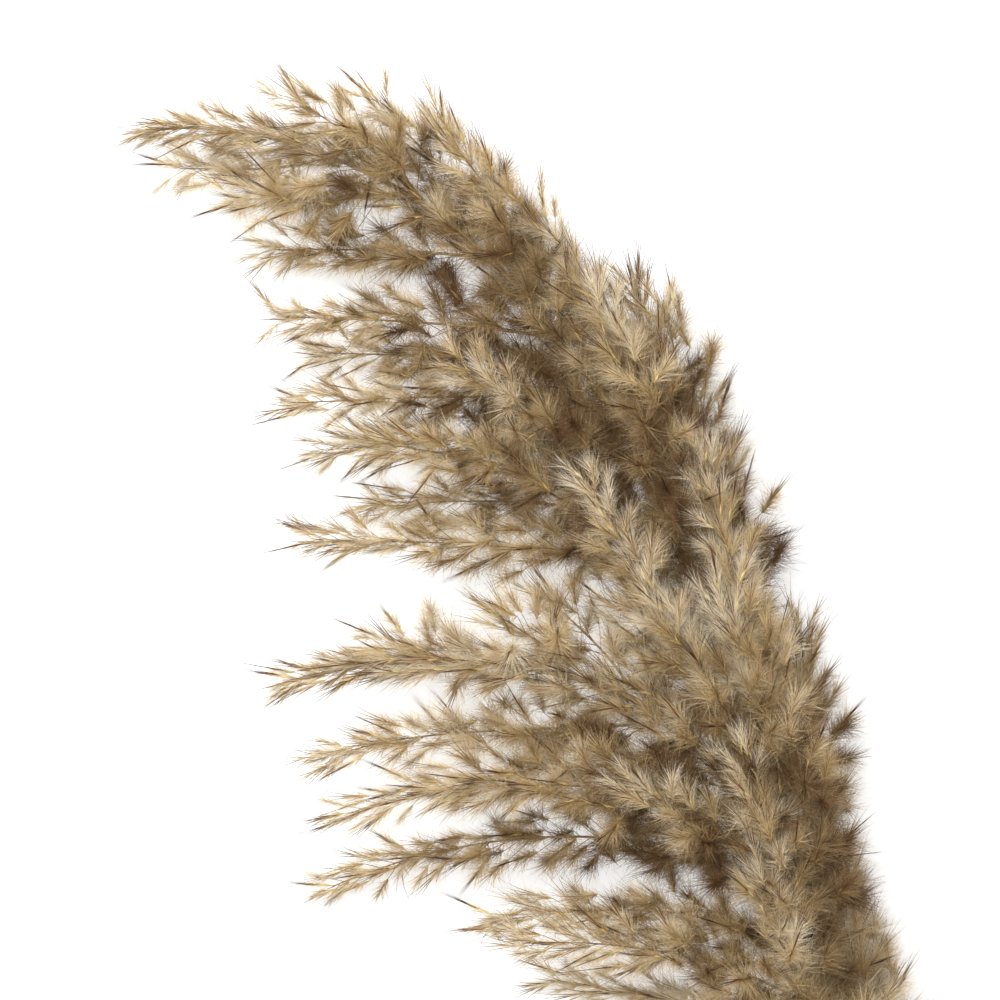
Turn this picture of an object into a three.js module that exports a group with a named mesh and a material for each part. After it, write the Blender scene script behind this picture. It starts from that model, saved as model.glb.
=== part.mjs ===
// A bundle of dried common reed, lying down. Three cut reeds are bound with twine. Each reed is one
// stem, a hollow culm that runs on as the rachis of its plume, and carries the plume's branches.
// Millimetres. +Y runs from the cut ends to the plumes, +X is to the right, +Z is up.
import * as THREE from "three";

const vec = (x, y, z) => new THREE.Vector3(x, y, z);
const UP = vec(0, 0, 1);

// Driving dimensions.
const GAP = 0.35; // between pieces that touch
const CULM_RADIUS = 2.5; // at the cut end
const FOOT_RADIUS = 1.7; // where the plume starts
const TIP_RADIUS = 0.4; // at the end of the rachis
const CULM_WALL = 0.55;
const HOLLOW_DEPTH = 62; // from the cut end to the first node, which closes the tube
const NODE_SPACING = 96; // between the swollen nodes of a culm
const NODE_RISE = 0.45; // how far a node stands out of the culm
const NODE_LENGTH = 5;
const STEM_SIDES = 12;
const RACHIS_RINGS = 17;

const BRANCH_FOOT_RADIUS = 0.45;
const BRANCH_FULLNESS = 0.017; // a branch's greatest radius for each millimetre of its length
const BRANCH_LEAST_RADIUS = 1.1;
const BRANCH_CLEARANCE = 0.7; // between a branch's foot and its rachis
const BRANCH_DROOP = 0.25; // how much a branch's end turns down
const BRANCH_SIDES = 8;
const BRANCH_RINGS = 9;

const TWINE_RADIUS = 0.85;
const TWINE_TURNS = 5;
const TWINE_PITCH = 1.95; // along the culms, from one turn to the next
const TWINE_STEPS = 21; // in one turn
const TIE_RADIUS = 2.3; // of each culm at the binding
const FIRST_CULM = 90; // the angle at which the top culm lies round the bundle, in degrees

// The middle of the binding, the way the culms run through it, and how far the cut ends lie from it.
const TIE = vec(134, -318, 13);
const TIE_ALONG = vec(-0.13, 0.985, 0.06).normalize();
const TIE_ACROSS = TIE_ALONG.clone().cross(UP).normalize();
const TIE_RISE = TIE_ACROSS.clone().cross(TIE_ALONG).normalize();
const TIE_STRAIGHT = 16; // the culms run parallel for this far on each side of the middle
const CUT_SPLAY = 1.7; // how much further apart the culms are at their cut ends

// The three reeds. "culm" is the culm's place round the binding, in degrees, and the length below it.
// "rachis" is the plume's path from its foot to its tip. Each branch is the share of the rachis at
// which it leaves, the place of its tip and, where its end hangs over sideways, how much it sags.
const REEDS = [
  {
    culm: { angle: 210, below: 136 },
    rachis: [
      [99, -172, 24],
      [90, -128, 28],
      [78, -80, 32],
      [65, -42, 35],
      [50, -10, 37],
      [32, 24, 38],
      [6, 58, 38],
      [-22, 83, 36],
      [-58, 100, 32],
      [-88, 105, 27],
      [-109, 103, 23],
    ],
    branches: [
      [0.84, -102, 94, 12],
      [0.78, -86, 84, 34],
      [0.7, -76, 72, 0],
      [0.76, -68, 119, 40],
      [0.68, -43, 122, 24],
      [0.62, -24, 114, 48],
      [0.55, -8, 94, 20],
      [0.48, 6, 91, 46],
      [0.62, -73, 52, 28],
      [0.58, -62, 43, 0],
      [0.55, -68, 27, 44],
      [0.51, -60, 14, 20],
      [0.47, -50, 19, 60],
      [0.45, -46, 0, 0],
      [0.41, -65, -10, 34],
      [0.44, 22, 68, 60],
      [0.36, 38, 51, 24],
      [0.5, -22, 44, 62],
      [0.3, 18, 14, 64],
      [0.22, 52, 24, 54],
    ],
  },
  {
    culm: { angle: 90, below: 128 },
    rachis: [
      [105, -196, 29],
      [95, -150, 36],
      [81, -106, 42],
      [60, -72, 48],
      [32, -53, 48],
      [0, -46, 44],
      [-36, -46, 37],
      [-70, -54, 28],
    ],
    branches: [
      [0.66, -10, -25, 56],
      [0.74, -45, -42, 20, 0.2],
      [0.6, 6, -20, 34],
      [0.56, -58, -77, 20, 0.35],
      [0.48, -54, -92, 44, 0.3],
      [0.34, -59, -117, 0, 0.5],
      [0.42, -26, -82, 62, 0.3],
      [0.26, -14, -121, 30, 0.3],
      [0.2, -4, -123, 52, 0.3],
      [0.12, 5, -137, 0, 0.2],
      [0.06, 16, -152, 36, 0.2],
      [0.02, 40, -172, 0],
      [0.4, 34, -14, 62],
      [0.3, 56, -16, 58],
      [0.36, 28, -72, 70],
      [0.24, 62, -60, 70],
      [0.16, 66, -92, 66],
      [0.5, 26, -22, 48],
    ],
  },
  {
    culm: { angle: 330, below: 144 },
    rachis: [
      [109, -184, 15],
      [97, -138, 15],
      [81, -88, 16],
      [68, -40, 18],
      [55, 2, 20],
      [44, 36, 20],
      [36, 72, 18],
    ],
    branches: [
      [0.8, 45, 66, 34],
      [0.7, 56, 42, 8],
      [0.62, 62, 23, 32],
      [0.54, 63, 4, 0],
      [0.46, 65, -8, 36],
      [0.38, 85, -25, 26],
      [0.34, 86, -36, 6],
      [0.28, 79, -54, 46],
      [0.2, 83, -70, 0],
      [0.16, 86, -86, 37],
      [0.12, 93, -99, 16],
      [0.08, 97, -113, 34],
      [0.04, 99, -130, 0],
      [0.02, 108, -148, 18],
    ],
  },
];

const MATERIALS = {
  culm: new THREE.MeshStandardMaterial({ color: 0xc4a468, roughness: 0.45, metalness: 0 }),
  plume: new THREE.MeshStandardMaterial({ color: 0x9e896b, roughness: 0.9, metalness: 0 }),
  twine: new THREE.MeshStandardMaterial({ color: 0xa98a5c, roughness: 0.95, metalness: 0 }),
};

// A round shape turned about an axis and then bent so that the axis follows a path. The profile
// holds a radius and a distance along the path for each ring. A ring that would dip under the
// surface lies on it.
function bentLathe(profile, path, sides) {
  const geometry = new THREE.LatheGeometry(profile, sides);
  const length = path.getLength();
  const place = geometry.getAttribute("position");
  for (let i = 0; i < place.count; i++) {
    const share = THREE.MathUtils.clamp(place.getY(i) / length, 0, 1);
    const along = path.getTangentAt(share);
    const across = along.clone().cross(UP).normalize();
    const rise = across.clone().cross(along);
    const centre = path.getPointAt(share);
    centre.z = Math.max(centre.z, ringRadius(profile, place.getY(i)));
    centre.addScaledVector(across, place.getX(i)).addScaledVector(rise, place.getZ(i));
    place.setXYZ(i, centre.x, centre.y, centre.z);
  }
  geometry.deleteAttribute("normal");
  geometry.deleteAttribute("uv");
  return geometry;
}

// The largest radius of the profile's rings at this distance along the path.
function ringRadius(profile, distance) {
  const there = profile.filter((ring) => Math.abs(ring.y - distance) < 1e-3);
  return Math.max(...there.map((ring) => ring.x));
}

function mesh(name, geometry, material) {
  const made = new THREE.Mesh(geometry, material);
  made.name = name;
  return made;
}

// A culm's place at the binding, from its angle round the bundle's middle.
function culmOffset(degrees) {
  const spread = (2 * TIE_RADIUS + GAP) / Math.sqrt(3); // three equal circles that all but touch
  const angle = THREE.MathUtils.degToRad(degrees);
  return TIE_ACROSS.clone()
    .multiplyScalar(spread * Math.cos(angle))
    .addScaledVector(TIE_RISE, spread * Math.sin(angle));
}

function stemPath(reed) {
  const offset = culmOffset(reed.culm.angle);
  const atTie = (along) => TIE.clone().add(offset).addScaledVector(TIE_ALONG, along);
  const cutEnd = TIE.clone()
    .addScaledVector(offset, CUT_SPLAY)
    .addScaledVector(TIE_ALONG, -reed.culm.below);
  return new THREE.CatmullRomCurve3([
    cutEnd,
    atTie(-TIE_STRAIGHT),
    atTie(TIE_STRAIGHT),
    ...reed.rachis.map((p) => vec(...p)),
  ]);
}

// How far along a path its point nearest to a place is.
function distanceTo(path, place) {
  const samples = 400;
  let best = 0;
  for (let i = 1; i <= samples; i++) {
    const nearer = path.getPointAt(i / samples).distanceTo(place);
    if (nearer < path.getPointAt(best / samples).distanceTo(place)) best = i;
  }
  return (best / samples) * path.getLength();
}

// The stem's radius: an even taper up the culm and a finer one along the rachis.
function stemRadius(distance, foot, length) {
  if (distance < foot) return THREE.MathUtils.lerp(CULM_RADIUS, FOOT_RADIUS, distance / foot);
  return THREE.MathUtils.lerp(FOOT_RADIUS, TIP_RADIUS, (distance - foot) / (length - foot));
}

// The stem's outline: out of the bore at the cut end, up the culm over its nodes, along the rachis.
function stemProfile(foot, length) {
  const bore = CULM_RADIUS - CULM_WALL;
  const rings = [
    [0, HOLLOW_DEPTH],
    [bore, HOLLOW_DEPTH],
    [bore, 0],
    [CULM_RADIUS, 0],
  ];
  const plain = (distance) => [stemRadius(distance, foot, length), distance];
  for (let node = HOLLOW_DEPTH; node < foot - NODE_SPACING / 4; node += NODE_SPACING) {
    const swollen = [stemRadius(node, foot, length) + NODE_RISE, node];
    rings.push(plain(node - NODE_LENGTH / 2), swollen, plain(node + NODE_LENGTH / 2));
    for (const between of [node + NODE_SPACING / 3, node + (2 * NODE_SPACING) / 3]) {
      if (between < foot) rings.push(plain(between));
    }
  }
  for (let i = 0; i < RACHIS_RINGS; i++) {
    const share = i / (RACHIS_RINGS - 1);
    rings.push(plain(THREE.MathUtils.lerp(foot + NODE_LENGTH, length, share)));
  }
  rings.push([0, length]);
  return rings.map(([radius, distance]) => new THREE.Vector2(radius, distance));
}

// A branch leaves the rachis at a sharp angle, towards the plume's tip, and bends over to its own
// tip, which droops a little and sags towards the cut ends.
function branchPath(stem, share, tip, foot, sag) {
  const length = stem.getLength();
  const distance = THREE.MathUtils.lerp(foot, length, share);
  const start = stem.getPointAt(distance / length);
  const along = stem.getTangentAt(distance / length);
  const reach = tip.clone().sub(start);
  const outward = reach.clone().addScaledVector(along, -reach.dot(along)).normalize();
  const clear = stemRadius(distance, foot, length) + BRANCH_FOOT_RADIUS + BRANCH_CLEARANCE;
  start.addScaledVector(outward, clear);
  const first = along.clone().multiplyScalar(0.75).addScaledVector(outward, 0.65).normalize();
  const last = reach.clone().normalize().add(vec(0, -sag, -BRANCH_DROOP)).normalize();
  const lean = reach.length() / 3;
  return new THREE.CubicBezierCurve3(
    start,
    start.clone().addScaledVector(first, lean),
    tip.clone().addScaledVector(last, -lean),
    tip,
  );
}

// A branch's outline is a slender spindle, fullest a little below its middle.
function branchProfile(length) {
  const fullest = Math.max(BRANCH_LEAST_RADIUS, BRANCH_FULLNESS * length);
  const rings = [new THREE.Vector2(0, 0)];
  for (let i = 0; i < BRANCH_RINGS; i++) {
    const share = i / (BRANCH_RINGS - 1);
    const fullness = Math.sin(Math.PI * share ** 0.75);
    const radius = THREE.MathUtils.lerp(BRANCH_FOOT_RADIUS, fullest, fullness);
    rings.push(new THREE.Vector2(radius, share * length));
  }
  rings.push(new THREE.Vector2(0, length));
  return rings;
}

// The twine lies round the three culms in a rounded triangle: an arc about each culm, then straight
// on to the next. Each turn is one pitch further along.
function twinePath() {
  const reach = TIE_RADIUS + GAP + TWINE_RADIUS;
  const perCulm = TWINE_STEPS / 3;
  const points = [];
  for (let step = 0; step <= TWINE_TURNS * TWINE_STEPS; step++) {
    const culm = Math.floor(step / perCulm);
    const centre = FIRST_CULM + 120 * culm;
    const within = (step % perCulm) / (perCulm - 1);
    const angle = THREE.MathUtils.degToRad(centre - 60 + 120 * within);
    const along = (step / TWINE_STEPS - TWINE_TURNS / 2) * TWINE_PITCH;
    points.push(
      TIE.clone()
        .add(culmOffset(centre))
        .addScaledVector(TIE_ACROSS, reach * Math.cos(angle))
        .addScaledVector(TIE_RISE, reach * Math.sin(angle))
        .addScaledVector(TIE_ALONG, along),
    );
  }
  return new THREE.CatmullRomCurve3(points);
}

function twineBinding() {
  const section = new THREE.Shape().absarc(0, 0, TWINE_RADIUS, 0, 2 * Math.PI);
  const geometry = new THREE.ExtrudeGeometry(section, {
    extrudePath: twinePath(),
    steps: TWINE_TURNS * TWINE_STEPS,
    curveSegments: 6,
    bevelEnabled: false,
  });
  return mesh("twine_binding", geometry, MATERIALS.twine);
}

function reedMeshes(reed, number) {
  const path = stemPath(reed);
  const length = path.getLength();
  const foot = distanceTo(path, vec(...reed.rachis[0]));
  const stem = bentLathe(stemProfile(foot, length), path, STEM_SIDES);
  const branches = reed.branches.map(([share, x, y, z, sag = 0], i) => {
    const branch = branchPath(path, share, vec(x, y, z), foot, sag);
    const geometry = bentLathe(branchProfile(branch.getLength()), branch, BRANCH_SIDES);
    const name = `reed_${number}_branch_${String(i + 1).padStart(2, "0")}`;
    return mesh(name, geometry, MATERIALS.plume);
  });
  return [mesh(`reed_${number}_stem`, stem, MATERIALS.culm), ...branches];
}

const bundle = new THREE.Group();
REEDS.forEach((reed, i) => bundle.add(...reedMeshes(reed, i + 1)));
bundle.add(twineBinding());

// The origin is under the middle of the bundle, on the surface that it lies on.
const box = new THREE.Box3().setFromObject(bundle, true);
const middle = box.getCenter(vec(0, 0, 0));
bundle.position.set(-middle.x, -middle.y, -box.min.z);

export default bundle;
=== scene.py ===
# The looks of a bundle of dried common reed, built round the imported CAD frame. Metres, +Z up.
import math

import bpy
import numpy as np
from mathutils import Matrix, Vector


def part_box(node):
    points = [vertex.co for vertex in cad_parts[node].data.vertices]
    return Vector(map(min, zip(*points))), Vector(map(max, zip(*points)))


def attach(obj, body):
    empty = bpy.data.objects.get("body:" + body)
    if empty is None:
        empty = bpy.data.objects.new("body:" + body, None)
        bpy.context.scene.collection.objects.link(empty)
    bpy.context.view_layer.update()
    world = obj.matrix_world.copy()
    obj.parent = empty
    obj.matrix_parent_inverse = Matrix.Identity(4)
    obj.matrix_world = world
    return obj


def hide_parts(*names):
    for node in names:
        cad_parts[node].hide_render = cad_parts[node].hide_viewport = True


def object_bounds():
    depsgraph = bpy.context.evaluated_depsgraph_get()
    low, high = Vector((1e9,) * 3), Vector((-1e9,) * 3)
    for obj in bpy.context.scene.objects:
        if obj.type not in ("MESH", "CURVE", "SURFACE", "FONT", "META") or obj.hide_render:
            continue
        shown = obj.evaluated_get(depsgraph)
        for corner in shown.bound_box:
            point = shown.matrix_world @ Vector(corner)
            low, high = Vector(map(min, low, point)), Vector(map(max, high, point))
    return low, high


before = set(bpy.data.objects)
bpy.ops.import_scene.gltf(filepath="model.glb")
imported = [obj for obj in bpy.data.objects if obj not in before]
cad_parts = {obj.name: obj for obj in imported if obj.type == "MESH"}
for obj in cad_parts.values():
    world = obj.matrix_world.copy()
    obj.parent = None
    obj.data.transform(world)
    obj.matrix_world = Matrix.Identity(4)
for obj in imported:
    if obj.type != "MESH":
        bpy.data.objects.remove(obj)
CAD_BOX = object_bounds()
MM = 0.001

# The view: a square of the surface, seen from straight above.
VIEW_SIDE = 280 * MM
LEFT_MARGIN = 0.1104  # from the view's left edge to the plumes, as a share of its side
TOP_MARGIN = 0.063
LENS = 150
SENSOR = 36

# A plume's spikelets. A spikelet is a fan of pointed scales, about 12 mm long, on a short stalk.
GOLDEN_ANGLE = math.radians(137.508)  # the turn from one stalk to the next round a branch
TIP_CLEARANCE = 13 * MM  # a branch's last spikelet starts this far before the branch's end
STALK_WIDTH = 0.32 * MM
SCALE_WIDTH = 0.34 * MM
GLUME_WIDTH = 0.6 * MM
HAIR_WIDTH = 0.1 * MM  # several times a real hair's, so that one shows
FLOOR_CLEARANCE = 0.3 * MM

# The culms and the twine.
BORE_RADIUS = 1.95 * MM
BORE_DEPTH = 62 * MM
STEM_SIDES = 16
STEM_STEP = 2 * MM  # from one ring of a stem's surface to the next
LIP = 0.1 * MM  # the rounding of the cut end
GROOVE_DEPTH = 0.2 * MM  # where a leaf sheath sat, at each node
GROOVE_REACH = 1.2 * MM
SCAR_REACH = 2 * MM
SCAR_STRENGTH = 0.75
RING_GAP = 0.2 * MM  # rings of a CAD node that are closer than this count as one
GRAIN_PER_METRE = 25  # steps of the pattern along a culm: one in 40 mm, against 2.5 mm across it
TWINE_REACH = 1.25 * MM  # from a culm's surface to the middle of the twine that goes round it
TWINE_TURNS = 5
TWINE_PITCH = 1.95 * MM
PLY_RADIUS = 0.48 * MM  # the twine has two plies, twisted together
PLY_OFFSET = 0.4 * MM
PLY_TWIST = 5.5 * MM  # for one whole turn of a ply round the other
PLY_SIDES = 8
PLY_STEP = 0.25 * MM
ARC_STEPS = 9  # of the twine round one culm
FUZZ = 700  # loose fibres on the twine

# Each kind of plume surface has its own strip of the UV map, and each strip has a column for each
# tone that a spikelet may have. Up the map runs the way from a piece's foot to its tip.
UV_MAP = "OFBake"
TONES = 12
STRIPS = {
    "hair": (0.0, 0.5),
    "scale": (0.5, 0.75),
    "glume": (0.75, 0.875),
    "stalk": (0.875, 1.0),
}


def linear(hex_colour):
    """An sRGB hex colour as the linear RGBA that a socket takes."""
    parts = [int(hex_colour[i : i + 2], 16) / 255 for i in (1, 3, 5)]
    return [p / 12.92 if p <= 0.04045 else ((p + 0.055) / 1.055) ** 2.4 for p in parts] + [1.0]


def add(tree, kind, settings=None, feeds=None):
    """Adds a node, sets its properties, and links or sets its inputs by name or number."""
    node = tree.nodes.new(kind)
    for name, value in (settings or {}).items():
        setattr(node, name, value)
    for name, value in (feeds or {}).items():
        if isinstance(value, bpy.types.NodeSocket):
            tree.links.new(value, node.inputs[name])
        else:
            node.inputs[name].default_value = value
    return node


def show(name, mesh):
    """A new object of the mesh, at the origin."""
    piece = bpy.data.objects.new(name, mesh)
    bpy.context.scene.collection.objects.link(piece)
    return piece


# ---------------------------------------------------------------- the camera


def place_camera():
    """Looks straight down on the plumes, which run out of the view at its lower right."""
    low, high = CAD_BOX
    data = bpy.data.cameras.new("camera")
    data.lens = LENS
    data.sensor_width = SENSOR
    data.clip_end = 20
    camera = bpy.data.objects.new("camera", data)
    bpy.context.scene.collection.objects.link(camera)
    across = low[0] + (0.5 - LEFT_MARGIN) * VIEW_SIDE
    up = high[1] - (0.5 - TOP_MARGIN) * VIEW_SIDE
    middle = (low[2] + high[2]) / 2
    camera.location = (across, up, middle + VIEW_SIDE * LENS / SENSOR)
    bpy.context.scene.camera = camera


# ---------------------------------------------------------------- materials


def ramp(tree, factor, stops):
    """A colour ramp through these (place, hex colour) stops."""
    node = add(tree, "ShaderNodeValToRGB", feeds={"Fac": factor})
    elements = node.color_ramp.elements
    while len(elements) < len(stops):
        elements.new(0.5)
    for element, (place, colour) in zip(elements, stops):
        element.position = place
        element.color = linear(colour)
    return node.outputs["Color"]


def plume_surface(name, strip, tones, lengthways, sides, roughness):
    """A surface of the plume, coloured by its tone (which holds painted shade deep in the plume), by how
    near its tip is and by its side.
    """
    material = bpy.data.materials.new(name)
    material.use_nodes = True
    tree = material.node_tree
    low, high = STRIPS[strip]
    place = add(tree, "ShaderNodeUVMap", {"uv_map": UV_MAP}).outputs["UV"]
    place = add(tree, "ShaderNodeSeparateXYZ", feeds={0: place})
    column = add(tree, "ShaderNodeMapRange", feeds={0: place.outputs["X"], 1: low, 2: high, 4: TONES})
    side = add(tree, "ShaderNodeMath", {"operation": "FRACT"}, {0: column.outputs[0]})
    tone = add(tree, "ShaderNodeMath", {"operation": "DIVIDE"}, {0: column.outputs[0], 1: TONES})
    colour = ramp(tree, tone.outputs[0], tones)
    for factor, stops in ((place.outputs["Y"], lengthways), (side.outputs[0], sides)):
        colour = add(
            tree,
            "ShaderNodeMix",
            {"data_type": "RGBA", "blend_type": "MULTIPLY"},
            {0: 1.0, 6: colour, 7: ramp(tree, factor, stops)},
        ).outputs[2]
    shader = tree.nodes["Principled BSDF"]
    tree.links.new(colour, shader.inputs["Base Color"])
    shader.inputs["Roughness"].default_value = roughness
    return material


PLAIN = [(0.0, "#ffffff"), (1.0, "#ffffff")]


def plume_materials():
    """Silky hair, papery scales and straw, all dry: soft and matt, with a faint gloss on the straw."""
    return {
        # Silk-like hair of the spikelets: pale cream, browner where a spikelet has aged, and browner deep
        # in the plume as painted shade.
        "hair": plume_surface(
            "reed silk hair",
            "hair",
            [(0.0, "#fffaef"), (0.45, "#dcc69c"), (1.0, "#684820")],
            [(0.0, "#cbb68f"), (0.3, "#f0e5cd"), (1.0, "#ffffff")],
            PLAIN,
            0.7,
        ),
        # Papery pointed scales: straw at the foot, brown above, dark at one edge and at the point.
        "scale": plume_surface(
            "reed lemma scale",
            "scale",
            [(0.0, "#ffffff"), (0.5, "#d9c39c"), (1.0, "#8c6c42")],
            [(0.0, "#e6d6b0"), (0.18, "#a98755"), (0.34, "#6c4722"), (1.0, "#4a2c13")],
            [(0.0, "#fff6e2"), (0.2, "#f0dfbc"), (0.3, "#c39b6a"), (1.0, "#b0875a")],
            0.6,
        ),
        # Short straw-yellow scales at the foot of each spikelet.
        "glume": plume_surface(
            "reed glume straw",
            "glume",
            [(0.0, "#fffdf0"), (0.5, "#fbf4e0"), (1.0, "#cdb78e")],
            [(0.0, "#cdb780"), (0.5, "#f4eac0"), (1.0, "#b29662")],
            [(0.0, "#ffffff"), (1.0, "#d9c698")],
            0.6,
        ),
        # Thin dry stalks, light brown.
        "stalk": plume_surface(
            "reed stalk straw",
            "stalk",
            [(0.0, "#ffffff"), (1.0, "#b09a76")],
            [(0.0, "#a88d5c"), (1.0, "#84693f")],
            PLAIN,
            0.6,
        ),
    }


def grained(name, base, grain, marks, roughness):
    """A dry stem or fibre: a colour by the way along, streaks along the grain, and marks over it."""
    material = bpy.data.materials.new(name)
    material.use_nodes = True
    tree = material.node_tree
    share = add(tree, "ShaderNodeAttribute", {"attribute_name": "share"}).outputs["Fac"]
    colour = ramp(tree, share, base)
    place = add(tree, "ShaderNodeAttribute", {"attribute_name": "grain"}).outputs["Vector"]
    streak = add(
        tree, "ShaderNodeTexNoise", feeds={"Vector": place, "Scale": 2.2, "Detail": 4.0}
    ).outputs[0]
    colour = add(
        tree,
        "ShaderNodeMix",
        {"data_type": "RGBA", "blend_type": "MULTIPLY"},
        {0: 1.0, 6: colour, 7: ramp(tree, streak, grain)},
    ).outputs[2]
    for attribute, mark in marks.items():
        amount = add(tree, "ShaderNodeAttribute", {"attribute_name": attribute}).outputs["Fac"]
        colour = add(
            tree, "ShaderNodeMix", {"data_type": "RGBA"}, {0: amount, 6: colour, 7: linear(mark)}
        ).outputs[2]
    shader = tree.nodes["Principled BSDF"]
    tree.links.new(colour, shader.inputs["Base Color"])
    shader.inputs["Roughness"].default_value = roughness
    return material


# ---------------------------------------------------------------- the small shapes of a spikelet


def shape(name, corners, faces, uvs):
    """A small mesh that Geometry Nodes repeat. It has a UV for each corner: across and along."""
    mesh = bpy.data.meshes.new(name)
    mesh.from_pydata(corners, [], faces)
    layer = mesh.uv_layers.new(name=UV_MAP)
    for loop in mesh.loops:
        layer.data[loop.index].uv = uvs[loop.vertex_index]
    return bpy.data.objects.new(name, mesh)


def blade(corners, faces, uvs, foot, length, lean, width, fold, rows):
    """Adds a folded, pointed scale. It starts at a height up the spikelet and leans out sideways."""
    first = len(corners)
    side = math.copysign(1.0, lean)
    for along, share in rows:
        bend = abs(lean) * (0.5 + BEND * along)  # a scale bends outwards
        out = side * length * along * math.sin(bend)
        up = foot + length * along * math.cos(bend)
        half = width * share / 2
        corners += [(out, -half, up), (out + side * fold * share, 0, up), (out, half, up)]
        uvs += [(0.0, along), (0.5, along), (1.0, along)]
    for row in range(len(rows) - 1):
        for column in range(2):
            a = first + 3 * row + column
            faces.append((a, a + 1, a + 4, a + 3))
    end = abs(lean) * (0.5 + BEND)
    corners.append((side * length * math.sin(end), 0, foot + length * math.cos(end)))
    uvs.append((0.5, 1.0))
    tip, last = len(corners) - 1, len(corners) - 4
    faces += [(last, last + 1, tip), (last + 1, last + 2, tip)]


# How far up a scale a row of its corners is, and the width there as a share of its greatest.
SCALE_ROWS = [(0.0, 0.6), (0.22, 1.0), (0.52, 0.42)]
GLUME_ROWS = [(0.0, 0.4), (0.45, 1.0)]
BEND = 1.1  # how much further out a scale leans at its tip than at its foot, as a share of its lean


def fan(name, scales, glumes):
    """One spikelet. Each scale has its foot's height, its length and its lean, in mm and degrees."""
    parts = {}
    for kind, rows, width, blades in (
        ("scale", SCALE_ROWS, SCALE_WIDTH, scales),
        ("glume", GLUME_ROWS, GLUME_WIDTH, glumes),
    ):
        corners, faces, uvs = [], [], []
        for foot, length, lean in blades:
            fold = 0.3 * width
            blade(
                corners, faces, uvs, foot * MM, length * MM, math.radians(lean), width, fold, rows
            )
        parts[kind] = shape(f"{name} {kind}", corners, faces, uvs)
    return parts


def spikelet_shapes():
    """Three spikelets, from closed to wide open."""
    return [
        fan(
            "closed",
            [(0.5, 17, 5), (1.8, 15, -7), (3.2, 14, 2), (4.4, 12.5, -3)],
            [(0, 4.5, -10), (0.5, 6, 9)],
        ),
        fan(
            "open",
            [(0.4, 15, 14), (1.6, 16.5, -11), (3.2, 14.5, 6), (4.6, 12.5, -4)],
            [(0, 4.5, -18), (0.5, 5.5, 15)],
        ),
        fan(
            "wide",
            [(0.3, 13.5, 25), (1.4, 15.5, -19), (3.0, 15, 11), (4.4, 14, -7), (5.4, 11, 2)],
            [(0, 4, -28), (0.4, 5, 24)],
        ),
    ]


def hair_shape():
    """A hair one unit long: a sliver that narrows to nothing and leans a little."""
    half = 0.5 * HAIR_WIDTH  # in true width: only its length is scaled
    corners = [(-half, 0, 0), (half, 0, 0), (0, 0.12, 1)]
    return shape("hair", corners, [(0, 1, 2)], [(0, 0), (1, 0), (0.5, 1)])


def stalk_shape():
    """A stalk one unit long with three sides, in true width."""
    corners, faces, uvs = [], [], []
    for up, share in ((0.0, 1.0), (1.0, 0.6)):
        for i in range(3):
            angle = i * math.tau / 3
            radius = share * STALK_WIDTH / 2
            corners.append((radius * math.cos(angle), radius * math.sin(angle), up))
            uvs.append((i / 2, up))
    for i in range(3):
        j = (i + 1) % 3
        faces.append((i, j, j + 3, i + 3))
    return shape("stalk", corners, faces, uvs)


# ---------------------------------------------------------------- the Geometry Nodes tree

# What changes along a path: its value at the path's foot, and at its tip.
ALONG = {
    "Stalk length": (15 * MM, 5 * MM),
    "Stalk angle": (math.radians(50), math.radians(30)),
    "Wander": (1.05, 0.3),  # how far a spikelet's heading strays from the path's
    # Darker towards a path's foot: partly a spikelet's age, partly painted shade for the dense core of the
    # plume, where the branches meet the rachis.
    "Age": (0.66, -0.15),  # which makes a spikelet's tone darker
    "Hairs": (420.0, 90.0),  # to a spikelet
    "Hair length": (12.5 * MM, 8 * MM),
    "Hair fullness": (1.2, 0.9),  # of a hair's width
    "Hair spread": (1.6, 0.5),
}
# How dark a branch's first spikelets are at the ends of the plume and in its middle, and how far up the
# darkest sit: partly their age, partly painted shade where the plume is densest.
END_AGE_AND_SHADE = 0.3
MIDDLE_AGE_AND_SHADE = 0.84
AGE_AND_SHADE_SKEW = 1.6  # which moves the oldest of them up from the middle
# Where a rachis differs from a branch.
RACHIS = {
    "Spacing": 1.1 * MM,
    "Stalk length at foot": 20 * MM,
    "Stalk length at tip": 4.5 * MM,
    # The rachis runs through the plume's core: its spikelets are darker at its foot, partly by age, partly
    # as painted shade.
    "Age at foot": 0.55,
    "Age at tip": 0.1,
    "Hairs at tip": 100.0,
    "Wander at tip": 0.35,
}
# What doesn't: the socket and its default.
INPUTS = {
    "Spacing": ("NodeSocketFloat", 1.55 * MM),  # from one spikelet to the next
    "Droop": ("NodeSocketFloat", 0.12),
    "Path radius": ("NodeSocketFloat", 0.5 * MM),
    "Seed": ("NodeSocketInt", 0),
}
# What is drawn at random, each with the range it is drawn from: for a spikelet, and for a hair.
CHANCES = {
    "turn": (-0.5, 0.5),
    "reach": (0.12, 1.0),
    "outward": (0.15, 0.65),
    "tone": (-0.05, 0.6),
    "roll": (0.0, math.tau),
    "size": (0.85, 1.15),
    "slide": (0.0, 6.5 * MM),
    "spin": (0.0, math.tau),
    "shorter": (0.4, 1.0),
    "fade": (-0.18, 0.14),
    "stem tone": (0.1, 0.9),
}


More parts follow.
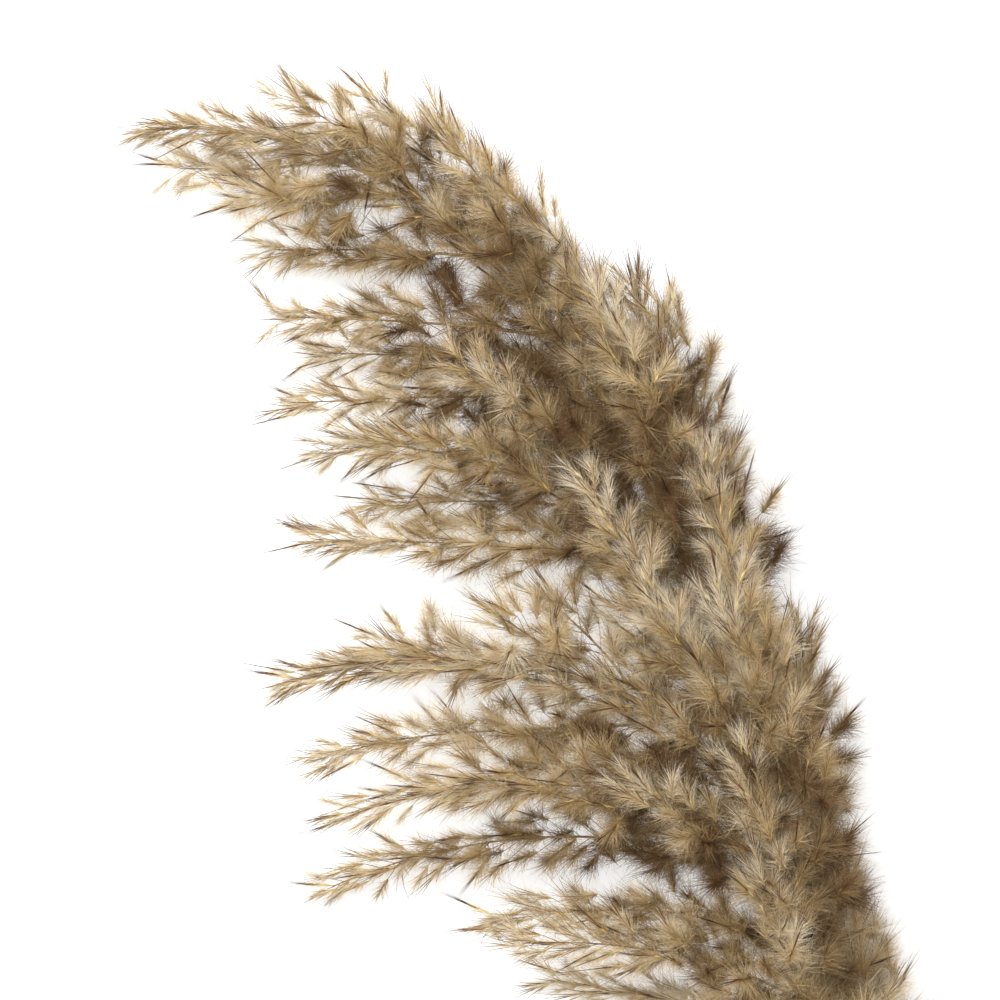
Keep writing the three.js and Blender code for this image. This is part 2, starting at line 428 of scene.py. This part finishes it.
def strip_uv(tree, geometry, strip):
    """Moves a part's own UVs into the column of its strip that its tone picks."""
    low, high = STRIPS[strip]
    own = add(tree, "GeometryNodeInputNamedAttribute", {"data_type": "FLOAT_VECTOR"}, {0: UV_MAP})
    own = add(tree, "ShaderNodeSeparateXYZ", feeds={0: own.outputs[0]})
    tone = add(tree, "GeometryNodeInputNamedAttribute", {"data_type": "FLOAT"}, {0: "tone"})
    steps = (
        ("MULTIPLY", TONES),
        ("FLOOR", 0.0),
        ("MINIMUM", TONES - 1.0),
        ("MAXIMUM", 0.0),
    )
    column = tone.outputs[0]
    for operation, value in steps:
        column = add(tree, "ShaderNodeMath", {"operation": operation}, {0: column, 1: value}).outputs[0]
    inside = add(
        tree, "ShaderNodeMath", {"operation": "MULTIPLY_ADD"}, {0: own.outputs[0], 1: 0.8, 2: 0.1}
    )
    column = add(tree, "ShaderNodeMath", {"operation": "ADD"}, {0: column, 1: inside.outputs[0]})
    across = add(tree, "ShaderNodeMapRange", feeds={0: column.outputs[0], 2: TONES, 3: low, 4: high})
    both = add(tree, "ShaderNodeCombineXYZ", feeds={0: across.outputs[0], 1: own.outputs[1]})
    return add(
        tree,
        "GeometryNodeStoreNamedAttribute",
        {"data_type": "FLOAT2", "domain": "CORNER"},
        {0: geometry, "Name": UV_MAP, "Value": both.outputs[0]},
    ).outputs[0]


def plume_tree(materials):
    """Dresses a path with stalks, spikelets and their hair. The path is a line of mesh edges."""
    tree = bpy.data.node_groups.new("reed plume branch", "GeometryNodeTree")
    tree.interface.new_socket("Geometry", in_out="INPUT", socket_type="NodeSocketGeometry")
    sockets = dict(INPUTS)
    for name, ends in ALONG.items():
        for end, value in zip(("foot", "tip"), ends):
            sockets[f"{name} at {end}"] = ("NodeSocketFloat", value)
    for name, (kind, default) in sockets.items():
        tree.interface.new_socket(name, in_out="INPUT", socket_type=kind).default_value = default
    tree.interface.new_socket("Geometry", in_out="OUTPUT", socket_type="NodeSocketGeometry")
    given = tree.nodes.new("NodeGroupInput").outputs

    # The path, smoothed, and a point on it for each spikelet.
    line = add(tree, "GeometryNodeMeshToCurve", feeds={0: given["Geometry"]})
    line = add(
        tree, "GeometryNodeCurveSplineType", {"spline_type": "CATMULL_ROM"}, {0: line.outputs[0]}
    )
    length = add(tree, "GeometryNodeCurveLength", feeds={0: line.outputs[0]})
    end = add(
        tree, "ShaderNodeMath", {"operation": "SUBTRACT"}, {0: length.outputs[0], 1: TIP_CLEARANCE}
    )
    line = add(
        tree,
        "GeometryNodeTrimCurve",
        {"mode": "LENGTH"},
        {0: line.outputs[0], 4: 2 * MM, 5: end.outputs[0]},
    )
    path = add(
        tree, "GeometryNodeResampleCurve", {"mode": "LENGTH"}, {0: line.outputs[0], 3: given["Spacing"]}
    )
    factor = add(tree, "GeometryNodeSplineParameter")
    path = add(
        tree,
        "GeometryNodeStoreNamedAttribute",
        {"data_type": "FLOAT", "domain": "POINT"},
        {0: path.outputs[0], "Name": "share", "Value": factor.outputs["Factor"]},
    ).outputs[0]
    points = add(tree, "GeometryNodeCurveToPoints", {"mode": "EVALUATED"}, {0: path})
    tangent, normal = points.outputs["Tangent"], points.outputs["Normal"]

    share = add(tree, "GeometryNodeInputNamedAttribute", {"data_type": "FLOAT"}, {0: "share"}).outputs[0]
    here = {}  # the value, at each point, of what changes along the path
    for name in ALONG:
        feeds = {0: share, 3: given[name + " at foot"], 4: given[name + " at tip"]}
        here[name] = add(tree, "ShaderNodeMapRange", feeds=feeds).outputs[0]
    seeds = []  # a seed of its own for each thing that is drawn at random
    for i in range(len(CHANCES) + 3):
        feeds = {0: given["Seed"], 1: 16.0, 2: float(i)}
        seeds.append(add(tree, "ShaderNodeMath", {"operation": "MULTIPLY_ADD"}, feeds).outputs[0])
    drawn = {}
    for (name, (low, high)), seed in zip(CHANCES.items(), seeds):
        drawn[name] = add(tree, "FunctionNodeRandomValue", feeds={2: low, 3: high, 8: seed}).outputs[1]
    strays = [
        add(
            tree,
            "FunctionNodeRandomValue",
            {"data_type": "FLOAT_VECTOR"},
            {0: (-1, -1, -1), 1: (1, 1, 1), 8: seed},
        ).outputs[0]
        for seed in seeds[-2:]
    ]

    # Each stalk leaves its point at an angle to the path, a golden angle on from the one before.
    index = add(tree, "GeometryNodeInputIndex")
    turn = add(
        tree,
        "ShaderNodeMath",
        {"operation": "MULTIPLY_ADD"},
        {0: index.outputs[0], 1: GOLDEN_ANGLE, 2: drawn["turn"]},
    )
    side = add(
        tree,
        "ShaderNodeVectorRotate",
        {"rotation_type": "AXIS_ANGLE"},
        {0: normal, 2: tangent, 3: turn.outputs[0]},
    ).outputs[0]
    sine = add(tree, "ShaderNodeMath", {"operation": "SINE"}, {0: here["Stalk angle"]})
    cosine = add(tree, "ShaderNodeMath", {"operation": "COSINE"}, {0: here["Stalk angle"]})
    forward = add(
        tree, "ShaderNodeVectorMath", {"operation": "SCALE"}, {0: tangent, 3: cosine.outputs[0]}
    )
    lean = add(
        tree,
        "ShaderNodeVectorMath",
        {"operation": "MULTIPLY_ADD"},
        {0: side, 1: sine.outputs[0], 2: forward.outputs[0]},
    )
    reach = add(
        tree, "ShaderNodeMath", {"operation": "MULTIPLY"}, {0: here["Stalk length"], 1: drawn["reach"]}
    )

    # A spikelet points along the path, turned outwards, straying by chance and drooping.
    heading = add(
        tree,
        "ShaderNodeVectorMath",
        {"operation": "MULTIPLY_ADD"},
        {0: side, 1: drawn["outward"], 2: tangent},
    )
    heading = add(
        tree,
        "ShaderNodeVectorMath",
        {"operation": "MULTIPLY_ADD"},
        {0: strays[0], 1: here["Wander"], 2: heading.outputs[0]},
    )
    fall = add(tree, "ShaderNodeCombineXYZ", feeds={2: given["Droop"]})
    heading = add(
        tree,
        "ShaderNodeVectorMath",
        {"operation": "SUBTRACT"},
        {0: heading.outputs[0], 1: fall.outputs[0]},
    )
    heading = add(tree, "ShaderNodeVectorMath", {"operation": "NORMALIZE"}, {0: heading.outputs[0]})
    # A spikelet's tone: its own by chance, plus the darkening along the path, which is partly age and
    # partly painted shade in the dense core.
    tone = add(tree, "ShaderNodeMath", {"operation": "ADD"}, {0: drawn["tone"], 1: here["Age"]})

    # All of it is kept on the points, so that it stays the same when they move or multiply.
    marked = points.outputs["Points"]
    kept = {}
    for kind, name, value in (
        ("FLOAT", "tone", tone.outputs[0]),
        ("FLOAT_VECTOR", "heading", heading.outputs[0]),
        ("FLOAT_VECTOR", "lean", lean.outputs[0]),
        ("FLOAT", "reach", reach.outputs[0]),
    ):
        marked = add(
            tree,
            "GeometryNodeStoreNamedAttribute",
            {"data_type": kind, "domain": "POINT"},
            {0: marked, "Name": name, "Value": value},
        ).outputs[0]
        kept[name] = add(
            tree, "GeometryNodeInputNamedAttribute", {"data_type": kind}, {0: name}
        ).outputs[0]
    away = add(tree, "ShaderNodeVectorMath", {"operation": "SCALE"}, {0: kept["lean"], 3: kept["reach"]})
    places = add(
        tree, "GeometryNodeSetPosition", feeds={0: marked, "Offset": away.outputs[0]}
    ).outputs[0]
    parts = []

    # The stalks.
    upright = add(tree, "FunctionNodeAlignRotationToVector", {"axis": "Z"}, {"Vector": kept["lean"]})
    tall = add(tree, "ShaderNodeCombineXYZ", feeds={0: 1.0, 1: 1.0, 2: kept["reach"]})
    unit = add(tree, "GeometryNodeObjectInfo", feeds={0: stalk_shape()})
    stalks = add(
        tree,
        "GeometryNodeInstanceOnPoints",
        feeds={
            "Points": marked,
            "Instance": unit.outputs["Geometry"],
            "Rotation": upright.outputs[0],
            "Scale": tall.outputs[0],
        },
    )
    parts.append(("stalk", stalks.outputs[0]))

    # The spikelets' scales, turned by chance about their own axis.
    roll = add(
        tree, "FunctionNodeAxisAngleToRotation", feeds={"Axis": (0, 0, 1), "Angle": drawn["roll"]}
    )
    pointed = add(tree, "FunctionNodeAlignRotationToVector", {"axis": "Z"}, {"Vector": kept["heading"]})
    turned = add(
        tree,
        "FunctionNodeRotateRotation",
        {"rotation_space": "LOCAL"},
        {0: pointed.outputs[0], 1: roll.outputs[0]},
    )
    choice = add(tree, "FunctionNodeRandomValue", {"data_type": "INT"}, {4: 0, 5: 2, 8: seeds[-3]})
    spikelets = spikelet_shapes()
    for kind in ("scale", "glume"):
        picked = add(tree, "GeometryNodeJoinGeometry")
        for variant in reversed(spikelets):
            one = add(tree, "GeometryNodeObjectInfo", feeds={0: variant[kind], 1: True})
            tree.links.new(one.outputs["Geometry"], picked.inputs[0])
        placed = add(
            tree,
            "GeometryNodeInstanceOnPoints",
            feeds={
                "Points": places,
                "Instance": picked.outputs[0],
                "Pick Instance": True,
                "Instance Index": choice.outputs[2],
                "Rotation": turned.outputs[0],
                "Scale": drawn["size"],
            },
        )
        parts.append((kind, placed.outputs[0]))

    # The hair: many slivers from each spikelet's foot, in a brush that opens towards its tip.
    brush = add(
        tree,
        "GeometryNodeDuplicateElements",
        {"domain": "POINT"},
        {0: places, "Amount": here["Hairs"]},
    )
    way = add(
        tree,
        "ShaderNodeVectorMath",
        {"operation": "MULTIPLY_ADD"},
        {0: strays[1], 1: here["Hair spread"], 2: kept["heading"]},
    )
    slide = add(
        tree, "ShaderNodeVectorMath", {"operation": "SCALE"}, {0: kept["heading"], 3: drawn["slide"]}
    )
    feet = add(tree, "GeometryNodeSetPosition", feeds={0: brush.outputs[0], "Offset": slide.outputs[0]})
    faded = add(tree, "ShaderNodeMath", {"operation": "ADD"}, {0: kept["tone"], 1: drawn["fade"]})
    feet = add(
        tree,
        "GeometryNodeStoreNamedAttribute",
        {"data_type": "FLOAT", "domain": "POINT"},
        {0: feet.outputs[0], "Name": "tone", "Value": faded.outputs[0]},
    )
    spin = add(
        tree, "FunctionNodeAxisAngleToRotation", feeds={"Axis": (0, 0, 1), "Angle": drawn["spin"]}
    )
    combed = add(tree, "FunctionNodeAlignRotationToVector", {"axis": "Z"}, {"Vector": way.outputs[0]})
    combed = add(
        tree,
        "FunctionNodeRotateRotation",
        {"rotation_space": "LOCAL"},
        {0: combed.outputs[0], 1: spin.outputs[0]},
    )
    tall = add(
        tree, "ShaderNodeMath", {"operation": "MULTIPLY"}, {0: drawn["shorter"], 1: here["Hair length"]}
    )
    grown = add(
        tree,
        "ShaderNodeCombineXYZ",
        feeds={0: here["Hair fullness"], 1: tall.outputs[0], 2: tall.outputs[0]},
    )
    unit = add(tree, "GeometryNodeObjectInfo", feeds={0: hair_shape()})
    hairs = add(
        tree,
        "GeometryNodeInstanceOnPoints",
        feeds={
            "Points": feet.outputs[0],
            "Instance": unit.outputs["Geometry"],
            "Rotation": combed.outputs[0],
            "Scale": grown.outputs[0],
        },
    )
    parts.append(("hair", hairs.outputs[0]))

    # Each part made real, laid in its strip of the UV map and given its material.
    whole = add(tree, "GeometryNodeJoinGeometry")
    for kind, geometry in parts:
        real = add(tree, "GeometryNodeRealizeInstances", feeds={0: geometry})
        laid = strip_uv(tree, real.outputs[0], kind)
        worn = add(tree, "GeometryNodeSetMaterial", feeds={0: laid, "Material": materials[kind]})
        tree.links.new(worn.outputs[0], whole.inputs[0])

    # The path's own stalk, thinner towards its tip.
    thick = add(
        tree, "ShaderNodeMapRange", feeds={0: share, 3: given["Path radius"], 4: STALK_WIDTH / 2}
    )
    ring = add(tree, "GeometryNodeCurvePrimitiveCircle", feeds={"Resolution": 5, "Radius": 1.0})
    stem = add(
        tree,
        "GeometryNodeCurveToMesh",
        feeds={0: path, 1: ring.outputs[0], "Scale": thick.outputs[0], "Fill Caps": True},
    )
    low, high = STRIPS["stalk"]
    shade = add(tree, "ShaderNodeMapRange", feeds={0: drawn["stem tone"], 3: low, 4: high})
    spot = add(tree, "ShaderNodeCombineXYZ", feeds={0: shade.outputs[0], 1: share})
    stem = add(
        tree,
        "GeometryNodeStoreNamedAttribute",
        {"data_type": "FLOAT2", "domain": "CORNER"},
        {0: stem.outputs[0], "Name": UV_MAP, "Value": spot.outputs[0]},
    )
    stem = add(
        tree, "GeometryNodeSetMaterial", feeds={0: stem.outputs[0], "Material": materials["stalk"]}
    )
    tree.links.new(stem.outputs[0], whole.inputs[0])

    # What would dip into the surface lies on it.
    spot = add(tree, "GeometryNodeInputPosition")
    spot = add(tree, "ShaderNodeSeparateXYZ", feeds={0: spot.outputs[0]})
    above = add(
        tree, "ShaderNodeMath", {"operation": "MAXIMUM"}, {0: spot.outputs[2], 1: FLOOR_CLEARANCE}
    )
    lifted = add(
        tree,
        "ShaderNodeCombineXYZ",
        feeds={0: spot.outputs[0], 1: spot.outputs[1], 2: above.outputs[0]},
    )
    whole = add(
        tree, "GeometryNodeSetPosition", feeds={0: whole.outputs[0], "Position": lifted.outputs[0]}
    )
    result = tree.nodes.new("NodeGroupOutput")
    tree.links.new(whole.outputs[0], result.inputs[0])
    return tree


# ---------------------------------------------------------------- paths from the CAD nodes


def rings(node, near):
    """The centre and radius of each ring of a bent lathe, from its pole nearest to a place."""
    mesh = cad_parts[node].data
    corners = np.array([v.co for v in mesh.vertices], float)
    triangles = np.array([p.vertices[:] for p in mesh.polygons])
    places, same = np.unique(corners.round(6), axis=0, return_inverse=True)
    triangles = same.reshape(-1)[triangles]
    neighbours = [set() for _ in places]
    for a, b, c in triangles:
        neighbours[a] |= {b, c}
        neighbours[b] |= {a, c}
        neighbours[c] |= {a, b}
    count = np.array([len(n) for n in neighbours])
    poles = np.flatnonzero(count == count.max())
    start = poles[np.argmin(np.linalg.norm(places[poles] - np.array(near), axis=1))]
    seen, level, found = {start}, [start], []
    while level:
        ring = places[level]
        centre = ring.mean(0)
        found.append((centre, float(np.linalg.norm(ring - centre, axis=1).mean())))
        level = sorted({n for v in level for n in neighbours[v]} - seen)
        seen |= set(level)
    apart = [np.linalg.norm(a[0] - b[0]) > RING_GAP for a, b in zip(found, found[1:])]
    return [found[0]] + [ring for ring, new in zip(found[1:], apart) if new]


def stem_rings(name):
    """A stem's rings from its cut end to its tip, without those of its bore."""
    low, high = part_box(name)
    found = rings(name, (low[0], high[1], (low[2] + high[2]) / 2))
    centres = np.array([c for c, _ in found])
    cut = int(np.argmin(centres[:, 1]))
    return found[: cut + 1][::-1]


def dressed(name, points, tree, values):
    """Runs the tree along a path and returns the result as a plain piece."""
    line = bpy.data.meshes.new(name + " path")
    line.from_pydata([tuple(p) for p in points], [(i, i + 1) for i in range(len(points) - 1)], [])
    guide = show(name + "_path", line)
    modifier = guide.modifiers.new("dress", "NODES")
    modifier.node_group = tree
    sockets = {s.name: s.identifier for s in tree.interface.items_tree if s.in_out == "INPUT"}
    for label, value in values.items():
        modifier[sockets[label]] = value
    depsgraph = bpy.context.evaluated_depsgraph_get()
    mesh = bpy.data.meshes.new_from_object(guide.evaluated_get(depsgraph), depsgraph=depsgraph)
    bpy.data.objects.remove(guide)
    bpy.data.meshes.remove(line)
    for name_left in ("share", "tone", "heading", "lean", "reach"):
        if name_left in mesh.attributes:
            mesh.attributes.remove(mesh.attributes[name_left])
    mesh.name = name
    return show(name, mesh)


# ---------------------------------------------------------------- stems and twine


def smoothed(points, step):
    """A smooth curve through the points: the distance along it and the place, at every step."""
    points = np.array(points, float)
    at = np.concatenate([[0], np.cumsum(np.linalg.norm(np.diff(points, axis=0), axis=1))])
    slope = np.gradient(points, at, axis=0)
    wanted = np.linspace(0, at[-1], int(at[-1] / step) + 2)
    i = np.clip(np.searchsorted(at, wanted, side="right") - 1, 0, len(at) - 2)
    span = at[i + 1] - at[i]
    s = ((wanted - at[i]) / span)[:, None]
    span = span[:, None]
    places = (
        (2 * s**3 - 3 * s**2 + 1) * points[i]
        + (s**3 - 2 * s**2 + s) * span * slope[i]
        + (3 * s**2 - 2 * s**3) * points[i + 1]
        + (s**3 - s**2) * span * slope[i + 1]
    )
    return wanted, places


def directions(at, places, reference):
    """Along a curve and, square to it, across the reference and towards it."""
    along = np.gradient(places, at, axis=0)
    along /= np.linalg.norm(along, axis=1)[:, None]
    across = np.cross(along, reference)
    across /= np.linalg.norm(across, axis=1)[:, None]
    return along, across, np.cross(across, along)


def swept(name, curve, reference, profile, sides):
    """A round surface along a curve. The profile holds each ring's distance along and radius."""
    at, places = curve
    _, across, rise = directions(at, places, reference)
    distance, radius = np.array(profile).T
    centre, across, rise = (
        np.stack([np.interp(distance, at, part) for part in values.T], axis=1)
        for values in (places, across, rise)
    )
    angle = np.arange(sides) * math.tau / sides
    spokes = np.cos(angle)[:, None] * across[:, None] + np.sin(angle)[:, None] * rise[:, None]
    corners = (centre[:, None] + radius[:, None, None] * spokes).reshape(-1, 3)
    step = np.hypot(np.diff(distance), np.diff(radius))
    up = np.concatenate([[0], np.cumsum(step)])
    up = 0.02 + 0.96 * up / up[-1]
    faces, uvs = [], []
    for i in range(len(distance) - 1):
        for j in range(sides):
            k = (j + 1) % sides
            a, b = i * sides, (i + 1) * sides
            faces.append((a + j, b + j, b + k, a + k))
            left, right = j / sides, (j + 1) / sides
            uvs += [(left, up[i]), (left, up[i + 1]), (right, up[i + 1]), (right, up[i])]
    last = (len(distance) - 1) * sides
    for ring, middle in ((range(sides), 0.01), (range(last + sides - 1, last - 1, -1), 0.99)):
        faces.append(tuple(ring))
        uvs += [(0.5 + 0.01 * math.cos(a), middle + 0.01 * math.sin(a)) for a in angle]
    mesh = bpy.data.meshes.new(name)
    mesh.from_pydata(corners.tolist(), [], faces)
    mesh.uv_layers.new(name=UV_MAP).data.foreach_set("uv", np.array(uvs).ravel())
    mesh.polygons.foreach_set("use_smooth", [True] * len(faces))
    grain = np.stack(
        [
            np.tile(np.cos(angle), len(distance)),
            np.tile(np.sin(angle), len(distance)),
            np.repeat(distance * GRAIN_PER_METRE, sides),
        ],
        axis=1,
    )
    write(mesh, "grain", "FLOAT_VECTOR", grain)
    write(mesh, "share", "FLOAT", np.repeat(distance / distance.max(), sides))
    return mesh


def write(mesh, name, kind, values):
    """Stores one value for each vertex, which a material can read."""
    attribute = mesh.attributes.new(name, kind, "POINT")
    attribute.data.foreach_set("vector" if kind == "FLOAT_VECTOR" else "value", np.ravel(values))


def stem_piece(name, trunk, material):
    """A culm, hollow at its cut end, that runs on as the rachis of its plume."""
    known = np.array([centre for centre, _ in trunk])
    curve = smoothed(known, STEM_STEP)
    known = np.concatenate([[0], np.cumsum(np.linalg.norm(np.diff(known, axis=0), axis=1))])
    radii = np.array([radius for _, radius in trunk])
    distance = np.arange(4 * LIP, curve[0][-1], STEM_STEP)
    radius = np.interp(distance, known, radii)
    # A node is where the culm is thicker than it is on both sides.
    nodes = [known[i] for i in range(1, len(radii) - 1) if radii[i] > radii[i - 1] + GROOVE_DEPTH]
    near = np.abs(distance[:, None] - np.array(nodes)).min(1)
    radius -= GROOVE_DEPTH * (near < GROOVE_REACH)
    profile = [(BORE_DEPTH, LIP), (BORE_DEPTH, BORE_RADIUS), (3 * LIP, BORE_RADIUS)]
    profile += [(0.0, BORE_RADIUS + LIP), (0.0, radii[0] - LIP)]
    inside = len(profile)
    profile += list(zip(distance, radius))
    mesh = swept(name, curve, (0, 0, 1), profile, STEM_SIDES)
    scar = np.concatenate([np.zeros(inside), SCAR_STRENGTH * np.exp(-((near / SCAR_REACH) ** 2))])
    cut = np.concatenate([np.ones(inside), np.zeros(len(distance))])
    write(mesh, "scar", "FLOAT", np.repeat(scar, STEM_SIDES))
    write(mesh, "cut", "FLOAT", np.repeat(cut, STEM_SIDES))
    mesh.materials.append(material)
    return show(name, mesh)


def loose_fibres(name, path, ways, chance):
    """Short fibres that stand out from a ply, each one sliver."""
    forward, outward, sideways = ways
    corners, faces, uvs = [], [], []
    for i in chance.integers(0, len(path), FUZZ // 2):
        way = forward[i] * chance.uniform(-1, 1) + outward[i] * chance.uniform(-0.2, 1)
        way = way + sideways[i] * chance.uniform(-1, 1)
        way = way / np.linalg.norm(way)
        thin = np.cross(way, forward[i]) * 0.03 * MM
        foot = path[i] + way * PLY_RADIUS * 0.7
        first = len(corners)
        corners += [foot - thin, foot + thin, foot + way * chance.uniform(0.6, 1.6) * MM]
        faces.append((first, first + 1, first + 2))
        uvs += [(0.1, 0.1), (0.2, 0.1), (0.15, 0.9)]
    fuzz = bpy.data.meshes.new(name)
    fuzz.from_pydata([tuple(c) for c in corners], [], faces)
    fuzz.uv_layers.new(name=UV_MAP).data.foreach_set("uv", np.array(uvs).ravel())
    write(fuzz, "grain", "FLOAT_VECTOR", np.array(corners) / MM)
    write(fuzz, "share", "FLOAT", np.full(len(corners), 0.5))
    return fuzz


def twine_piece(name, trunks, material):
    """Two twisted plies wound round the culms, with loose fibres. The ends stop where the last turns do."""
    low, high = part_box("twine_binding")
    middle = (np.array(low) + np.array(high)) / 2
    centres, radii, ways = [], [], []
    for trunk in trunks:
        at, places = smoothed([centre for centre, _ in trunk], 1 * MM)
        i = int(np.argmin(np.abs(places[:, 1] - middle[1])))
        centres.append(places[i])
        ways.append(directions(at, places, (0, 0, 1))[0][i])
        known = np.array([centre for centre, _ in trunk])
        radii.append(np.interp(middle[1], known[:, 1], [radius for _, radius in trunk]))
    along = np.mean(ways, axis=0)
    along /= np.linalg.norm(along)
    across = np.cross(along, (0, 0, 1))
    across /= np.linalg.norm(across)
    rise = np.cross(across, along)
    hub = np.mean(centres, axis=0)
    spots = [((c - hub) @ across, (c - hub) @ rise, r) for c, r in zip(centres, radii)]
    spots.sort(key=lambda spot: math.atan2(spot[1], spot[0]))
    # Each turn: an arc about each culm, and straight on to the next.
    loop = []
    for x, y, radius in spots:
        facing = math.atan2(y, x)
        for turn in np.linspace(-math.pi / 3, math.pi / 3, ARC_STEPS):
            reach = radius + TWINE_REACH
            loop.append((x + reach * math.cos(facing + turn), y + reach * math.sin(facing + turn)))
    points = []
    for i in range(TWINE_TURNS * len(loop) + 1):
        x, y = loop[i % len(loop)]
        slide = (i / len(loop) - TWINE_TURNS / 2) * TWINE_PITCH
        points.append(hub + x * across + y * rise + slide * along)
    at, places = smoothed(points, PLY_STEP)
    forward, outward, sideways = directions(at, places, along)
    twist = (at * math.tau / PLY_TWIST)[:, None]
    meshes = []
    chance = np.random.default_rng(5)
    for ply in range(2):
        angle = twist + math.pi * ply
        path = places + PLY_OFFSET * (np.cos(angle) * outward + np.sin(angle) * sideways)
        profile = [(distance, PLY_RADIUS) for distance in at[::2]]
        meshes.append(swept(name, (at, path), along, profile, PLY_SIDES))
        meshes.append(loose_fibres(name, path, (forward, outward, sideways), chance))
    for mesh in meshes:
        mesh.materials.append(material)
    return joined(name, meshes)


def joined(name, meshes):
    """One piece of several meshes."""
    parts = [show(name, mesh) for mesh in meshes]
    with bpy.context.temp_override(active_object=parts[0], selected_editable_objects=parts):
        bpy.ops.object.join()
    return parts[0]


# ---------------------------------------------------------------- the reeds


def culm_straw():
    """Hard glossy straw, paler than the rachis, with a brown scar at each node and a pale cut end."""
    return grained(
        "reed culm straw",
        [(0.0, "#cfb57e"), (0.35, "#c2a56c"), (0.5, "#a98f62"), (1.0, "#86704c")],
        [(0.3, "#cbbb9a"), (0.5, "#f4ead4"), (0.7, "#ffffff")],
        {"scar": "#7a5c37", "cut": "#dccb9e"},
        0.38,
    )


def jute_twine():
    """Jute: brown, matt and uneven."""
    return grained(
        "jute twine",
        [(0.0, "#b0926a"), (1.0, "#a88a5e")],
        [(0.3, "#b8a07c"), (0.55, "#f0e2c8"), (0.75, "#ffffff")],
        {},
        0.9,
    )


def branch_path(branch, centres):
    """A branch's middle line, from the end that is nearer to its stem."""
    low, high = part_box(branch)
    line = [c for c, _ in rings(branch, (np.array(low) + np.array(high)) / 2)]
    gaps = [np.linalg.norm(centres - end, axis=1).min() for end in (line[0], line[-1])]
    return line if gaps[0] < gaps[1] else line[::-1]


def make_reed(number, stem, trunk, tree, straw):
    """The stem's surface, and the spikelets of its branches and of its rachis."""
    piece = stem_piece(stem + "_straw", trunk, straw)
    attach(piece, "root")
    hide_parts(stem)
    centres = np.array([c for c, _ in trunk])
    reed = stem.removesuffix("stem")
    branches = sorted(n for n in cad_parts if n.startswith(reed + "branch"))
    first_seed = 100 * number
    plume_foot = min(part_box(branch)[0][1] for branch in branches)
    plume_tip = centres[-1][1]
    for i, branch in enumerate(branches):
        path = branch_path(branch, centres)
        up_plume = (path[0][1] - plume_foot) / (plume_tip - plume_foot)
        # Branches in the middle of the plume get darker feet: partly older spikelets, partly painted shade
        # where the plume is thickest.
        age_and_shade = END_AGE_AND_SHADE + (MIDDLE_AGE_AND_SHADE - END_AGE_AND_SHADE) * math.sin(math.pi * up_plume**AGE_AND_SHADE_SKEW)
        values = {"Seed": first_seed + i + 1, "Age at foot": age_and_shade}
        piece = dressed(branch + "_spikelets", path, tree, values)
        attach(piece, "root")
        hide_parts(branch)
    # The rachis starts where the lowest branch does.
    start = min(range(len(centres)), key=lambda k: abs(centres[k][1] - plume_foot))
    piece = dressed(reed + "rachis_spikelets", centres[start:], tree, RACHIS | {"Seed": first_seed})
    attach(piece, "root")


# ---------------------------------------------------------------- the floor and the light


def make_floor():
    """A light table: white, with a soft light of its own that keeps the shadows faint."""
    table = bpy.data.materials.new("light table")
    table.use_nodes = True
    shader = table.node_tree.nodes["Principled BSDF"]
    shader.inputs["Base Color"].default_value = (0.5, 0.5, 0.5, 1)
    shader.inputs["Roughness"].default_value = 1.0
    shader.inputs["Emission Color"].default_value = (1, 1, 1, 1)
    shader.inputs["Emission Strength"].default_value = 0.68
    bpy.ops.mesh.primitive_plane_add(size=6)
    floor = bpy.context.object
    floor.name = "floor"
    floor.data.materials.append(table)
    return floor


def light_studio():
    """An even white surround, and one soft box above the upper left."""
    world = bpy.data.worlds.new("studio")
    bpy.context.scene.world = world
    world.use_nodes = True
    surround = world.node_tree.nodes["Background"]
    surround.inputs["Color"].default_value = (1, 1, 1, 1)
    surround.inputs["Strength"].default_value = 0.75
    lamp = bpy.data.lights.new("soft box", "AREA")
    lamp.shape = "RECTANGLE"
    lamp.size, lamp.size_y = 1.2, 0.9
    lamp.energy = 22
    soft_box = bpy.data.objects.new("soft box", lamp)
    bpy.context.scene.collection.objects.link(soft_box)
    soft_box.location = (-0.5, 0.6, 1.2)
    soft_box.rotation_euler = (math.radians(-22), math.radians(-22), 0)
    bpy.context.scene.view_settings.view_transform = "Standard"
    # A short limit on matt bounces keeps a render of this much hair short.
    bpy.context.scene.cycles.diffuse_bounces = 2


# ---------------------------------------------------------------- the making

place_camera()
spikelets = plume_tree(plume_materials())
straw = culm_straw()
stems = sorted(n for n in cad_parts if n.endswith("_stem"))
trunks = [stem_rings(stem) for stem in stems]
for number, (stem, trunk) in enumerate(zip(stems, trunks)):
    make_reed(number, stem, trunk, spikelets, straw)
twine = twine_piece("twine_plies", trunks, jute_twine())
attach(twine, "root")
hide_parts("twine_binding")
make_floor()
light_studio()
